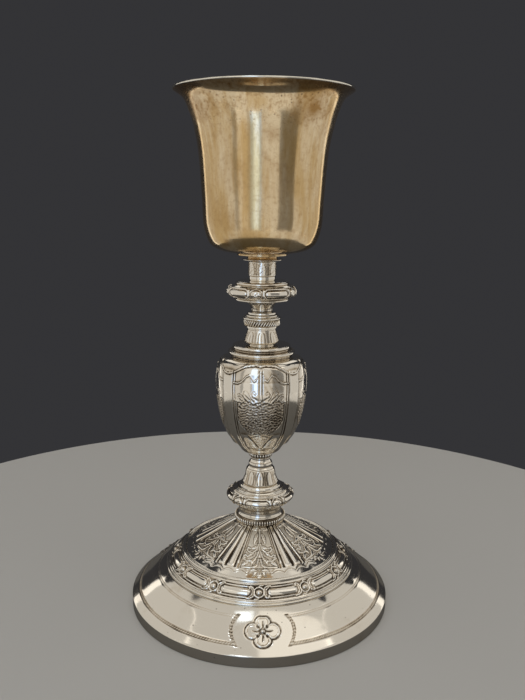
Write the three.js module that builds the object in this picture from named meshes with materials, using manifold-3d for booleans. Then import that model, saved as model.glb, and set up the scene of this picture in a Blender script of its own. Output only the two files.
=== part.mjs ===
// A tall silver chalice with a gilt bowl. Millimetres, +Z up, base on z = 0, the side seen in the photograph faces -Y.
import * as THREE from "three";
import { mergeVertices } from "three/addons/utils/BufferGeometryUtils.js";
import Module from "manifold-3d";

const wasm = await Module();
wasm.setup();

// Heights of the pieces, stacked from the table up.
const footHeight = 46.0;
const collarHeight = 11.6;
const lowerKnopHeight = 9.8;
const lowerBellHeight = 9.8;
const middleRingHeight = 8.0;
const urnHeight = 60.0;
const upperBellHeight = 9.0;
const ropeRingHeight = 6.2;
const spoolHeight = 8.6;
const upperKnopHeight = 10.2;
const stemTopHeight = 11.8;
const bowlHeight = 84.0;

// Foot.
const footRadius = 71.4;
const bandHeight = 6.1;
const footWall = 1.2;
const drumTopRadius = 43.0;
const drumTopHeight = 29.9;
const drumLowRadius = 51.8;
const drumLowHeight = 21.9;
const moundTopRadius = 13.4;
const friezeRepeats = 12;
const fluteGroups = 6;

// Bowl.
const rimRadius = 46.2;
const bowlWall = 1.1;
const discRadius = 13.6;

// Stem.
const upperKnopRadius = 18.2;
const lowerKnopRadius = 18.4;
const urnRadius = 24.4;
const capPlateRadius = 17.9;
const upperPlateRadius = 15.5;
const knopRepeats = 5;
const urnPanels = 4;

// Facets round the axis.
const wideFacets = 36;
const stemFacets = 24;

const silver = () => new THREE.MeshStandardMaterial({ color: 0xcfccc4, metalness: 1, roughness: 0.28 });
const gilt = () => new THREE.MeshStandardMaterial({ color: 0xd8b57a, metalness: 1, roughness: 0.24 });

const radians = (degrees) => (degrees * Math.PI) / 180;

// The closed solid of a three.js geometry.
function solidOf(geometry) {
  const bare = geometry.clone();
  bare.deleteAttribute("normal");
  bare.deleteAttribute("uv");
  const merged = mergeVertices(bare, 1e-4);
  const corners = [];
  const index = merged.index.array;
  for (let i = 0; i < index.length; i += 3) {
    const [a, b, c] = [index[i], index[i + 1], index[i + 2]];
    if (a !== b && b !== c && c !== a) corners.push(a, b, c);
  }
  const mesh = new wasm.Mesh({
    numProp: 3,
    vertProperties: new Float32Array(merged.attributes.position.array),
    triVerts: new Uint32Array(corners),
  });
  return new wasm.Manifold(mesh);
}

// A body of revolution from [radius, height] points that run from the axis at the bottom to the axis at the top.
function revolve(profile, facets) {
  const points = profile.map(([r, z]) => new THREE.Vector2(r, z));
  const turned = new THREE.LatheGeometry(points, facets);
  turned.rotateX(Math.PI / 2);
  return solidOf(turned);
}

// A turned body with carving. bearingsAt(height) gives the bearings of its columns, and rise(column, height) tells
// how far a column stands out there.
function carved(profile, bearingsAt, rise) {
  const rows = profile.slice(1, -1);
  const columns = bearingsAt(0).length;
  const corners = [0, 0, profile[0][1]];
  for (const [r, z] of rows) {
    bearingsAt(z).forEach((bearing, column) => {
      const out = r + rise(column, z);
      const turn = radians(bearing);
      corners.push(out * Math.sin(turn), -out * Math.cos(turn), z);
    });
  }
  corners.push(0, 0, profile[profile.length - 1][1]);
  const top = 1 + rows.length * columns;
  const faces = [];
  for (let i = 0; i < columns; i++) {
    const j = (i + 1) % columns;
    faces.push(0, 1 + j, 1 + i);
    for (let row = 0; row + 1 < rows.length; row++) {
      const low = 1 + row * columns;
      const high = low + columns;
      faces.push(low + i, low + j, high + j);
      faces.push(low + i, high + j, high + i);
    }
    const last = 1 + (rows.length - 1) * columns;
    faces.push(last + i, last + j, top);
  }
  const geometry = new THREE.BufferGeometry();
  geometry.setAttribute("position", new THREE.Float32BufferAttribute(corners, 3));
  geometry.setIndex(faces);
  return solidOf(geometry);
}

// The columns of one repeat, turned round the axis.
const repeated = (repeats, first, columns) =>
  Array.from({ length: repeats }, (_, i) => columns.map((c) => first + (360 / repeats) * i + c)).flat();

// A point and its outward normal at a distance along an open [radius, height] line.
function along(line, distance) {
  let left = distance;
  for (let i = 0; i + 1 < line.length; i++) {
    const [r0, z0] = line[i];
    const [r1, z1] = line[i + 1];
    const length = Math.hypot(r1 - r0, z1 - z0);
    if (left <= length || i + 2 === line.length) {
      const t = left / length;
      return {
        r: r0 + (r1 - r0) * t,
        z: z0 + (z1 - z0) * t,
        nr: (z1 - z0) / length,
        nz: (r0 - r1) / length,
      };
    }
    left -= length;
  }
}

const lineLength = (line) =>
  line.slice(1).reduce((sum, [r, z], i) => sum + Math.hypot(r - line[i][0], z - line[i][1]), 0);

// A raised form on a turned surface. outline holds [across, up] points in mm round the form's centre, anticlockwise
// as seen from outside; centre is its distance along the line, and bearing its angle from the front.
function raised(line, centre, bearing, outline, rise, { sink = 0.9, inner = 0.8 } = {}) {
  const rings = [
    [1, -sink],
    [inner, rise * 0.8],
  ];
  const corners = [];
  const place = (across, up, out) => {
    const spot = along(line, centre + up);
    const turn = radians(bearing) + across / spot.r;
    const r = spot.r + spot.nr * out;
    corners.push(r * Math.sin(turn), -r * Math.cos(turn), spot.z + spot.nz * out);
  };
  place(0, 0, -sink);
  for (const [scale, out] of rings) for (const [across, up] of outline) place(across * scale, up * scale, out);
  place(0, 0, rise);
  const n = outline.length;
  const faces = [];
  for (let i = 0; i < n; i++) {
    const j = (i + 1) % n;
    faces.push(0, 1 + j, 1 + i);
    for (let ring = 0; ring < rings.length - 1; ring++) {
      const low = 1 + ring * n;
      const high = low + n;
      faces.push(low + i, low + j, high + j);
      faces.push(low + i, high + j, high + i);
    }
    const top = 1 + (rings.length - 1) * n;
    faces.push(top + i, top + j, top + n);
  }
  const geometry = new THREE.BufferGeometry();
  geometry.setAttribute("position", new THREE.Float32BufferAttribute(corners, 3));
  geometry.setIndex(faces);
  return solidOf(geometry);
}

// An oval or a round-ended bar as an outline.
function roundedBar(halfWidth, halfHeight, sides) {
  const straight = Math.max(0, halfWidth - halfHeight);
  const outline = [];
  for (let i = 0; i < sides; i++) {
    const turn = (2 * Math.PI * (i + 0.5)) / sides;
    const shift = Math.cos(turn) > 0 ? straight : -straight;
    outline.push([Math.cos(turn) * Math.min(halfWidth, halfHeight) + shift, Math.sin(turn) * halfHeight]);
  }
  return outline;
}

const join = (solids) => wasm.Manifold.union(solids);

function piece(name, solid, material, bottom) {
  const data = solid.getMesh();
  const geometry = new THREE.BufferGeometry();
  geometry.setAttribute("position", new THREE.BufferAttribute(new Float32Array(data.vertProperties), 3));
  geometry.setIndex(new THREE.BufferAttribute(new Uint32Array(data.triVerts), 1));
  geometry.computeVertexNormals();
  const mesh = new THREE.Mesh(geometry, material);
  mesh.name = name;
  mesh.position.z = bottom;
  return mesh;
}

// Foot: a band, a plain slope, a cove, an ornamented drum and a fluted mound, raised from sheet and open below.
function foot() {
  const moundLine = [
    [drumTopRadius - 1.9, drumTopHeight + 0.4],
    [33.0, 34.7],
    [25.0, 39.2],
    [18.0, 43.4],
    [moundTopRadius, footHeight],
  ];
  const friezeLine = [
    [drumLowRadius - 2.0, drumLowHeight + 1.5],
    [drumTopRadius + 0.9, drumTopHeight - 1.0],
  ];
  const outside = [
    [footRadius, 0],
    [footRadius, bandHeight - 0.3],
    [footRadius - 0.4, bandHeight],
    [64.0, 12.0],
    [57.0, 18.0],
    [drumLowRadius + 2.4, 20.0],
    [drumLowRadius - 0.1, 20.6],
    [drumLowRadius + 0.1, drumLowHeight],
    [drumLowRadius - 0.9, drumLowHeight + 0.8],
    ...friezeLine,
    [drumTopRadius + 0.2, drumTopHeight - 0.3],
    [drumTopRadius - 0.6, drumTopHeight + 0.6],
    ...moundLine,
  ];
  const inside = [
    [0, footHeight - footWall],
    [moundTopRadius - 1.2, footHeight - footWall],
    [drumTopRadius - 2.6, drumTopHeight - 1.2],
    [drumLowRadius - 2.2, drumLowHeight - 0.8],
    [57.0 - 1.1, 18.0 - 1.3],
    [footRadius - footWall, bandHeight - 1.3],
    [footRadius - footWall, 0],
  ];
  const shell = revolve([...inside, ...outside, [0, footHeight]], wideFacets);
  const forms = [];
  const friezeMiddle = lineLength(friezeLine) / 2;
  for (let i = 0; i < friezeRepeats; i++) {
    const bearing = (360 / friezeRepeats) * i;
    forms.push(raised(friezeLine, friezeMiddle, bearing, roundedBar(2.7, 2.6, 6), 1.1, { inner: 0.6 }));
    forms.push(raised(friezeLine, friezeMiddle, bearing + 180 / friezeRepeats, roundedBar(7.4, 2.2, 8), 0.9));
  }
  const tongue = [
    [0, -11.8],
    [1.9, -9.6],
    [0.95, 9.6],
    [-0.95, 9.6],
    [-1.9, -9.6],
  ];
  const leafHalf = [
    [3.0, -6.2],
    [8.6, -5.4],
    [7.6, -1.5],
    [2.4, 8.5],
  ];
  const leaf = [[0, -9.6], ...leafHalf, ...leafHalf.map(([across, up]) => [-across, up]).reverse()];
  for (let group = 0; group < fluteGroups; group++) {
    const panel = (360 / fluteGroups) * group;
    forms.push(raised(moundLine, 11.6, panel, leaf, 0.45, { sink: 0.6, inner: 0.9 }));
    for (const side of [-1, 1]) {
      const bearing = panel + 180 / fluteGroups + side * 4.3;
      forms.push(raised(moundLine, 18.0, bearing, tongue, 0.6, { sink: 0.6 }));
    }
  }
  return join([shell, ...forms]);
}

function collar() {
  return revolve(
    [
      [0, 0],
      [13.3, 0],
      [14.2, 0.8],
      [14.3, 3.9],
      [13.7, 4.6],
      [11.9, 4.6],
      [11.7, 5.6],
      [11.9, 7.6],
      [13.2, 10.4],
      [14.4, collarHeight],
      [0, collarHeight],
    ],
    stemFacets,
  );
}

// A knop's ornamented belt: long rounded bars with bosses between them, on the rows between two heights.
const beltColumns = [0, 17.5, 20.5, 24, 27.5, 36, 44.5, 48, 51.5, 54.5];
const beltRise = [0.5, 0.5, 0, 0, 0.5, 0.8, 0.5, 0, 0, 0.5];

function knop(profile, barBearing, beltLow, beltHigh) {
  const bearings = repeated(knopRepeats, barBearing, beltColumns);
  const rise = (column, z) => (z > beltLow && z < beltHigh ? beltRise[column % beltColumns.length] : 0);
  return carved(profile, () => bearings, rise);
}

function lowerKnop() {
  const profile = [
    [0, 0],
    [15.0, 0],
    [16.4, 0.5],
    [17.4, 1.1],
    [lowerKnopRadius, 3.0],
    [17.5, 4.9],
    [16.5, 5.4],
    [15.0, 5.9],
    [14.5, 6.9],
    [13.2, 7.5],
    [11.2, 8.8],
    [10.9, lowerKnopHeight],
    [0, lowerKnopHeight],
  ];
  return knop(profile, -5, 0.8, 5.2);
}

function lowerBell() {
  return revolve(
    [
      [0, 0],
      [9.5, 0],
      [9.85, 0.8],
      [9.3, 2.0],
      [8.55, 4.0],
      [8.1, 6.6],
      [7.6, 8.4],
      [6.6, lowerBellHeight],
      [0, lowerBellHeight],
    ],
    stemFacets,
  );
}

function middleRing() {
  return revolve(
    [
      [0, 0],
      [6.4, 0],
      [6.3, 2.4],
      [5.4, 3.2],
      [5.4, 4.8],
      [6.1, 5.4],
      [6.2, middleRingHeight],
      [0, middleRingHeight],
    ],
    stemFacets,
  );
}

// Urn-shaped knop with two round plates as its cap, four upright straps, and a shield and a swag between them.
function urnKnop() {
  const strapHalf = 9.5;
  const shieldLow = 11.0;
  const shieldHigh = 30.0;
  const swagLow = 33.6;
  const swagHigh = 40.0;
  const strapHigh = 49.6;
  const quarter = 180 / urnPanels;
  const profile = [
    [0, 0],
    [7.2, 0],
    [10.0, 1.2],
    [12.3, 4.2],
    [15.0, 7.0],
    [16.3, 9.4],
    [18.3, 11.6],
    [20.0, 14.8],
    [22.0, 21.2],
    [23.4, 27.6],
    [23.8, 30.6],
    [24.2, 34.2],
    [urnRadius, 37.8],
    [urnRadius, 40.8],
    [urnRadius - 0.3, 45.4],
    [23.6, 49.2],
    [22.4, 52.4],
    [16.4, 53.8],
    [15.9, 55.4],
    [capPlateRadius, 56.0],
    [capPlateRadius, 57.0],
    [14.9, 57.6],
    [upperPlateRadius, 58.6],
    [upperPlateRadius, urnHeight],
    [0, urnHeight],
  ];
  const onShield = (z) => z > shieldLow && z < shieldHigh;
  const shieldHalf = (z) => (onShield(z) ? 5 + 9 * Math.sqrt((z - shieldLow) / (shieldHigh - shieldLow)) : 9);
  const bearingsAt = (z) => {
    const s = shieldHalf(z);
    const edge = quarter - strapHalf;
    const columns = [-quarter, -edge, 1 - edge, -24, -s - 1, -s, 0, s, s + 1, 24, edge - 1, edge];
    return repeated(urnPanels, -2, columns);
  };
  const rise = (column, z) => {
    const place = column % 12;
    if (place < 2 || place === 11) return z > 8 && z < strapHigh ? 0.5 : 0;
    if (z > swagLow && z < swagHigh) return place === 2 || place === 10 ? 0 : 0.5;
    return onShield(z) && place > 4 && place < 8 ? 0.6 : 0;
  };
  return carved(profile, bearingsAt, rise);
}

function upperBell() {
  return revolve(
    [
      [0, 0],
      [6.7, 0],
      [6.7, 0.7],
      [8.6, 1.1],
      [9.25, 2.4],
      [8.7, 4.2],
      [8.1, 6.2],
      [7.7, 8.2],
      [7.7, upperBellHeight],
      [0, upperBellHeight],
    ],
    stemFacets,
  );
}

// Rope-like ring under the spool, with a ridge above it.
function ropeRing() {
  return revolve(
    [
      [0, 0],
      [8.2, 0],
      [8.3, 1.2],
      [9.0, 2.2],
      [9.3, 3.6],
      [9.2, 4.6],
      [10.3, 5.0],
      [10.3, 5.8],
      [9.9, ropeRingHeight],
      [0, ropeRingHeight],
    ],
    stemFacets,
  );
}

function spool() {
  return revolve(
    [
      [0, 0],
      [8.5, 0],
      [8.5, 0.9],
      [7.6, 1.5],
      [7.6, 2.2],
      [5.4, 3.1],
      [5.7, 4.2],
      [6.9, 6.2],
      [7.6, 7.8],
      [7.6, spoolHeight],
      [0, spoolHeight],
    ],
    stemFacets,
  );
}

function upperKnop() {
  const profile = [
    [0, 0],
    [14.0, 0],
    [14.6, 0.7],
    [14.4, 1.3],
    [16.4, 2.2],
    [17.4, 3.0],
    [upperKnopRadius, 4.9],
    [17.4, 6.8],
    [16.4, 7.7],
    [14.0, 8.7],
    [14.1, 9.5],
    [13.4, upperKnopHeight],
    [0, upperKnopHeight],
  ];
  return knop(profile, 26, 2.6, 7.2);
}

function stemTop() {
  return revolve(
    [
      [0, 0],
      [6.8, 0],
      [6.9, 2.3],
      [7.35, 2.9],
      [7.35, 10.2],
      [8.0, 10.7],
      [10.7, 10.8],
      [10.7, 11.4],
      [8.2, 11.5],
      [8.0, stemTopHeight],
      [0, stemTopHeight],
    ],
    stemFacets,
  );
}

// Gilt bowl with a true wall, standing on a small disc.
function bowl() {
  const wallBase = [
    [16.2, 2.9],
    [20.6, 3.7],
    [24.6, 5.2],
    [27.6, 7.6],
    [29.6, 11.2],
    [30.8, 16.4],
    [31.2, 23.0],
    [32.0, 38.6],
    [33.1, 53.4],
    [34.6, 62.0],
    [36.5, 70.0],
    [38.5, 75.4],
    [39.7, 78.6],
    [41.4, 80.4],
  ];
  const outside = [
    [7.9, 0],
    [8.0, 1.0],
    [discRadius, 1.6],
    [discRadius, 2.3],
    ...wallBase,
    [rimRadius - 0.2, bowlHeight - 0.4],
    [rimRadius, bowlHeight],
  ];
  const inside = wallBase
    .map(([r, z], i) => {
      const [r0, z0] = wallBase[Math.max(0, i - 1)];
      const [r1, z1] = wallBase[Math.min(wallBase.length - 1, i + 1)];
      const length = Math.hypot(r1 - r0, z1 - z0);
      return [r - (bowlWall * (z1 - z0)) / length, z + (bowlWall * (r1 - r0)) / length];
    })
    .filter((_, i) => i % 2 === 0)
    .reverse();
  return revolve([[0, 0], ...outside, ...inside, [0, 4.0]], wideFacets);
}

const root = new THREE.Group();
root.name = "chalice";
const footGroup = new THREE.Group();
const stemGroup = new THREE.Group();
const cupGroup = new THREE.Group();
footGroup.name = "foot_part";
stemGroup.name = "stem_part";
cupGroup.name = "cup_part";
root.add(footGroup, stemGroup, cupGroup);

footGroup.add(piece("foot", foot(), silver(), 0));

stemGroup.position.z = footHeight;
let level = 0;
const stemPieces = [
  ["stem_collar", collar, collarHeight],
  ["lower_knop", lowerKnop, lowerKnopHeight],
  ["lower_bell", lowerBell, lowerBellHeight],
  ["middle_ring", middleRing, middleRingHeight],
  ["urn_knop", urnKnop, urnHeight],
  ["upper_bell", upperBell, upperBellHeight],
  ["rope_ring", ropeRing, ropeRingHeight],
  ["spool", spool, spoolHeight],
  ["upper_knop", upperKnop, upperKnopHeight],
  ["stem_top", stemTop, stemTopHeight],
];
for (const [name, make, height] of stemPieces) {
  stemGroup.add(piece(name, make(), silver(), level));
  level += height;
}

cupGroup.position.z = footHeight + level;
cupGroup.add(piece("bowl", bowl(), gilt(), 0));

export default root;
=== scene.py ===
import math

import bpy
import numpy as np
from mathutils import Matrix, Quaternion, Vector


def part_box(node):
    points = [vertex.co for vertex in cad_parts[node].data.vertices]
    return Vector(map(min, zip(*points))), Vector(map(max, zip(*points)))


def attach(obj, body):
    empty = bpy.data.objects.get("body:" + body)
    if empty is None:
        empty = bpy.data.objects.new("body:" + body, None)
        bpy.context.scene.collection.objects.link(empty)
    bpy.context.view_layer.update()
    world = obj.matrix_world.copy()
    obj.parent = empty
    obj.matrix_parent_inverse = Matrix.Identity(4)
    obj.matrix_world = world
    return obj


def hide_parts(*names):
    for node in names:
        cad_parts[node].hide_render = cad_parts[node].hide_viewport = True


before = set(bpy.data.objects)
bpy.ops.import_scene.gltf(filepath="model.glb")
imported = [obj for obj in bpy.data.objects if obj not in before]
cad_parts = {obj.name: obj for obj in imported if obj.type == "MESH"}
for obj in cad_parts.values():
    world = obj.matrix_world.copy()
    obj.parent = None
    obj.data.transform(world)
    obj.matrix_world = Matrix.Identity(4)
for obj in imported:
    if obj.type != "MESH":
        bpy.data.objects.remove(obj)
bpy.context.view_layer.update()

mm = 0.001
scene = bpy.context.scene


def bottomOf(node):
    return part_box(node)[0].z / mm  # the height that a piece stands at, in mm


# The camera is low and close, looking slightly down, with the small roll of the photograph.
camera = {
    "place": (0.0005, -0.3978, 0.2239),
    "lookDown": 11.66,
    "roll": 0.57,
    "lens": 38.98,
    "filmWidth": 36,
}


def placeCamera(look):
    data = bpy.data.cameras.new("camera")
    data.lens = look["lens"]
    data.sensor_width = look["filmWidth"]
    data.clip_start = 0.01
    cam = bpy.data.objects.new("camera", data)
    cam.location = look["place"]
    tilt = Quaternion((1, 0, 0), math.radians(90 - look["lookDown"]))
    cam.rotation_mode = "QUATERNION"
    cam.rotation_quaternion = tilt @ Quaternion((0, 0, 1), math.radians(look["roll"]))
    scene.collection.objects.link(cam)
    scene.camera = cam


placeCamera(camera)
print("camera placed")


# Node trees, for the shader groups, the materials and the shapes that repeat.
def node(tree, kind, inputs=None, **settings):
    made = tree.nodes.new(kind)
    for name, value in settings.items():
        setattr(made, name, value)
    for key, value in (inputs or {}).items():
        link(tree, value, socketOf(made, key))
    return made


def socketOf(made, key):
    if isinstance(key, int):
        return made.inputs[key]
    return next(s for s in made.inputs if s.name == key and s.enabled)


def link(tree, value, socket):
    if isinstance(value, bpy.types.NodeSocket):
        tree.links.new(value, socket)
    elif isinstance(value, bpy.types.Node):
        tree.links.new(next(s for s in value.outputs if s.enabled), socket)
    else:
        socket.default_value = value


def maths(tree, operation, *values, clamp=False):
    return node(tree, "ShaderNodeMath", dict(enumerate(values)), operation=operation, use_clamp=clamp)


def times(tree, first, second):
    return maths(tree, "MULTIPLY", first, second)


def objectPlace(tree):
    return node(tree, "ShaderNodeTexCoord").outputs["Object"]


def newTree(name, kind, inputs, outputs):
    tree = bpy.data.node_groups.new(name, kind)
    for direction, sockets in (("INPUT", inputs), ("OUTPUT", outputs)):
        for socketName, socketKind, value in sockets:
            socket = tree.interface.new_socket(name=socketName, in_out=direction, socket_type="NodeSocket" + socketKind)
            if value is not None:
                socket.default_value = value
    return tree, tree.nodes.new("NodeGroupInput"), tree.nodes.new("NodeGroupOutput")


def ramp(tree, value, low, high, toLow=0.0, toHigh=1.0):
    inputs = {"Value": value, "From Min": low, "From Max": high, "To Min": toLow, "To Max": toHigh}
    return node(tree, "ShaderNodeMapRange", inputs, interpolation_type="SMOOTHSTEP")


def mix(tree, share, first, second):
    made = node(tree, "ShaderNodeMix", data_type="RGBA")
    link(tree, share, made.inputs["Factor"])
    colours = [s for s in made.inputs if s.type == "RGBA"]
    link(tree, first, colours[0])
    link(tree, second, colours[1])
    return next(s for s in made.outputs if s.type == "RGBA")


def noise(tree, place, scale, detail, roughness=0.5, distortion=0.0):
    return node(tree, "ShaderNodeTexNoise", {
        "Vector": place, "Scale": scale, "Detail": detail, "Roughness": roughness, "Distortion": distortion,
    })


# Dark tarnish that sits in the recesses and thins out in patches. Its recess input also brings painted shade and a
# painted reflection, which are darkened the same way.
def tarnishAndShadeGroup():
    sockets = [("Recess and Shade", "Float", 0), ("Amount", "Float", 1), ("Patches", "Float", 0.2), ("Patch Size", "Float", 70)]
    tree, start, end = newTree("tarnish_and_shade", "ShaderNodeTree", sockets, [("Mask", "Float", None)])
    place = objectPlace(tree)
    broad = noise(tree, place, start.outputs["Patch Size"], 4.0)
    fine = noise(tree, place, 900.0, 2.0)
    unevenness = maths(tree, "ADD", ramp(tree, broad, 0.3, 0.7, 0.6, 1.0), ramp(tree, fine, 0.3, 0.7, -0.12, 0.12))
    uneven = times(tree, start.outputs["Recess and Shade"], unevenness)
    inRecess = times(tree, uneven, start.outputs["Amount"])
    film = times(tree, ramp(tree, broad, 0.5, 0.78), start.outputs["Patches"])
    link(tree, maths(tree, "ADD", inRecess, film, clamp=True), end.inputs["Mask"])
    return tree


# Fine marks of polishing that run round the axis, and a few stray scratches.
def polishGroup():
    sockets = [("Spacing", "Float", 1600), ("Scratches", "Float", 0.4)]
    results = [("Height", "Float", None), ("Haze", "Float", None)]
    tree, start, end = newTree("polish marks", "ShaderNodeTree", sockets, results)
    place = objectPlace(tree)
    parts = node(tree, "ShaderNodeSeparateXYZ", {"Vector": place})
    squares = [times(tree, parts.outputs[i], parts.outputs[i]) for i in (0, 1)]
    radius = maths(tree, "SQRT", maths(tree, "ADD", *squares))
    bearing = maths(tree, "ARCTAN2", parts.outputs[0], parts.outputs[1])
    lanes = node(tree, "ShaderNodeCombineXYZ", {
        "X": times(tree, radius, start.outputs["Spacing"]),
        "Y": times(tree, parts.outputs[2], start.outputs["Spacing"]),
        "Z": times(tree, bearing, 2.5),
    })
    marks = noise(tree, lanes, 1.0, 3.0)
    turned = node(tree, "ShaderNodeMapping", {"Vector": place, "Rotation": (0.5, 0.9, 0.4), "Scale": (1500, 1500, 60)})
    stray = noise(tree, turned, 1.0, 1.0)
    lines = times(tree, ramp(tree, stray, 0.68, 0.76), start.outputs["Scratches"])
    smudge = noise(tree, place, 45.0, 5.0)
    link(tree, maths(tree, "SUBTRACT", marks, lines), end.inputs["Height"])
    link(tree, maths(tree, "ADD", ramp(tree, smudge, 0.35, 0.7, 0.0, 0.6), lines), end.inputs["Haze"])
    return tree


# Small round pits and specks.
def pitGroup():
    sockets = [("Size", "Float", 600), ("Share", "Float", 0.15)]
    tree, start, end = newTree("pits", "ShaderNodeTree", sockets, [("Mask", "Float", None)])
    place = objectPlace(tree)
    cells = node(tree, "ShaderNodeTexVoronoi", {"Vector": place, "Scale": start.outputs["Size"], "Randomness": 1.0})
    chosen = node(tree, "ShaderNodeSeparateColor", {"Color": cells.outputs["Color"]}).outputs[0]
    rare = maths(tree, "LESS_THAN", chosen, start.outputs["Share"])
    dot = ramp(tree, cells.outputs["Distance"], 0.12, 0.32, 1.0, 0.0)
    link(tree, times(tree, rare, dot), end.inputs["Mask"])
    return tree


tarnish_and_shade = tarnishAndShadeGroup()
polishMarks = polishGroup()
pits = pitGroup()


def placed(tree, group, **values):
    made = node(tree, "ShaderNodeGroup", node_tree=group)
    for name, value in values.items():
        made.inputs[name.replace("_", " ")].default_value = value
    return made


def attribute(tree, name):
    return node(tree, "ShaderNodeAttribute", attribute_name=name).outputs["Fac"]


def startMaterial(name):
    material = bpy.data.materials.new(name)
    material.use_nodes = True
    tree = material.node_tree
    shader = next(n for n in tree.nodes if n.type == "BSDF_PRINCIPLED")
    shader.inputs["Metallic"].default_value = 1.0
    return material, tree, shader


silverLook = {
    "clean": (0.83, 0.775, 0.68, 1),
    "warm": (0.62, 0.52, 0.39, 1),
    "dark": (0.045, 0.032, 0.021, 1),
    "bright": (0.92, 0.88, 0.80, 1),
    "tarnish_and_shade": 1.0,
    "patches": 0.22,
    "roughness": 0.075,
    "matteRoughness": 0.36,
    "hazeRoughness": 0.055,
    "tarnishAndShadeRoughness": 0.25,
    "polishDepth": 0.000003,
    "speckSize": 700.0,
    "speckShare": 0.035,
    "speckStrength": 0.6,
}


def silverMaterial(name, look):
    material, tree, shader = startMaterial(name)
    recess_and_shade = attribute(tree, "recess_and_shade")
    matte = attribute(tree, "matte")
    # The mask darkens the recesses with tarnish, and also the painted shade in the urn's necks and at the bead bases,
    # and the painted reflection patch on the urn.
    darkening = placed(tree, tarnish_and_shade, Amount=look["tarnish_and_shade"], Patches=look["patches"])
    link(tree, recess_and_shade, darkening.inputs["Recess and Shade"])
    marks = placed(tree, polishMarks)
    specks = placed(tree, pits, Size=look["speckSize"], Share=look["speckShare"])
    warmth = ramp(tree, darkening.outputs["Mask"], 0.0, 0.42)
    polished = mix(tree, attribute(tree, "worn"), look["clean"], look["bright"])
    metal = mix(tree, warmth, polished, look["warm"])
    darkTone = mix(tree, ramp(tree, darkening.outputs["Mask"], 0.22, 0.9), metal, look["dark"])
    speckMask = times(tree, specks.outputs["Mask"], look["speckStrength"])
    link(tree, mix(tree, speckMask, darkTone, look["dark"]), shader.inputs["Base Color"])
    haze = times(tree, marks.outputs["Haze"], look["hazeRoughness"])
    worn = maths(tree, "ADD", ramp(tree, matte, 0, 1, look["roughness"], look["matteRoughness"]), haze)
    roughenedWhereDark = times(tree, darkening.outputs["Mask"], look["tarnishAndShadeRoughness"])
    link(tree, maths(tree, "ADD", worn, roughenedWhereDark), shader.inputs["Roughness"])
    bump = node(tree, "ShaderNodeBump", {"Distance": look["polishDepth"], "Height": marks.outputs["Height"]})
    link(tree, bump, shader.inputs["Normal"])
    return material


giltLook = {
    "gold": (0.64, 0.44, 0.20, 1),
    "pale": (0.84, 0.68, 0.45, 1),
    "brown": (0.40, 0.23, 0.085, 1),
    "dark": (0.16, 0.09, 0.04, 1),
    "bareSilver": (0.90, 0.85, 0.74, 1),
    "roughness": 0.10,
    "hazeRoughness": 0.09,
    "stainAndShadeRoughness": 0.12,
    "polishSpacing": 1200.0,
    "polishDepth": 0.000005,
    "pitDepth": 0.00003,
    "pitSize": 640.0,
    "pitShare": 0.20,
}


def giltMaterial(name, look):
    material, tree, shader = startMaterial(name)
    place = objectPlace(tree)
    recess_and_shade = attribute(tree, "recess_and_shade")
    nearLip = attribute(tree, "matte")  # the cup is nowhere matte, so this says how near the lip a point is
    marks = placed(tree, polishMarks, Spacing=look["polishSpacing"])

    # thin gilding in upright streaks, mottled, and browner towards the lip
    stretched = node(tree, "ShaderNodeMapping", {"Vector": place, "Scale": (90, 90, 12)})
    streaks = noise(tree, stretched, 1.0, 5.0, 0.62)
    gilding = mix(tree, ramp(tree, streaks, 0.38, 0.62), look["gold"], look["pale"])
    mottle = noise(tree, place, 420.0, 3.0, 0.7)
    broad = noise(tree, place, 44.0, 6.0, 0.6, distortion=0.4)
    fineBrown = times(tree, ramp(tree, mottle, 0.45, 0.70), ramp(tree, nearLip, 0, 1, 0.26, 0.52))
    brownLip = times(tree, ramp(tree, broad, 0.46, 0.66), ramp(tree, nearLip, 0, 1, 0.24, 0.52))
    # Besides real stains, the recess attribute brings painted shadows at the cup's joints and a painted reflection of
    # the dark below on its lip and underside; they turn brown and dark here.
    stainAndShadeMask = maths(tree, "ADD", maths(tree, "ADD", fineBrown, brownLip), recess_and_shade, clamp=True)
    darkened = mix(tree, stainAndShadeMask, gilding, look["brown"])
    deep = times(tree, ramp(tree, recess_and_shade, 0.45, 1.0), ramp(tree, broad, 0.3, 0.6, 0.5, 1.0))
    darkened = mix(tree, deep, darkened, look["dark"])
    specks = placed(tree, pits, Size=look["pitSize"], Share=look["pitShare"])
    pitted = times(tree, specks.outputs["Mask"], ramp(tree, nearLip, 0, 1, 0.12, 0.7))
    darkened = mix(tree, pitted, darkened, look["dark"])
    link(tree, mix(tree, attribute(tree, "worn"), darkened, look["bareSilver"]), shader.inputs["Base Color"])
    haze = times(tree, marks.outputs["Haze"], look["hazeRoughness"])
    dull = times(tree, stainAndShadeMask, look["stainAndShadeRoughness"])
    link(tree, maths(tree, "ADD", maths(tree, "ADD", haze, look["roughness"]), dull), shader.inputs["Roughness"])
    lines = node(tree, "ShaderNodeBump", {"Distance": look["polishDepth"], "Height": marks.outputs["Height"]})
    holes = node(tree, "ShaderNodeBump", {
        "Distance": look["pitDepth"],
        "Height": maths(tree, "SUBTRACT", 1.0, pitted),
        "Normal": lines,
    })
    link(tree, holes, shader.inputs["Normal"])
    return material


silver = silverMaterial("silver_polished", silverLook)
gilt = giltMaterial("gilt_worn", giltLook)
print("materials made")


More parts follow.
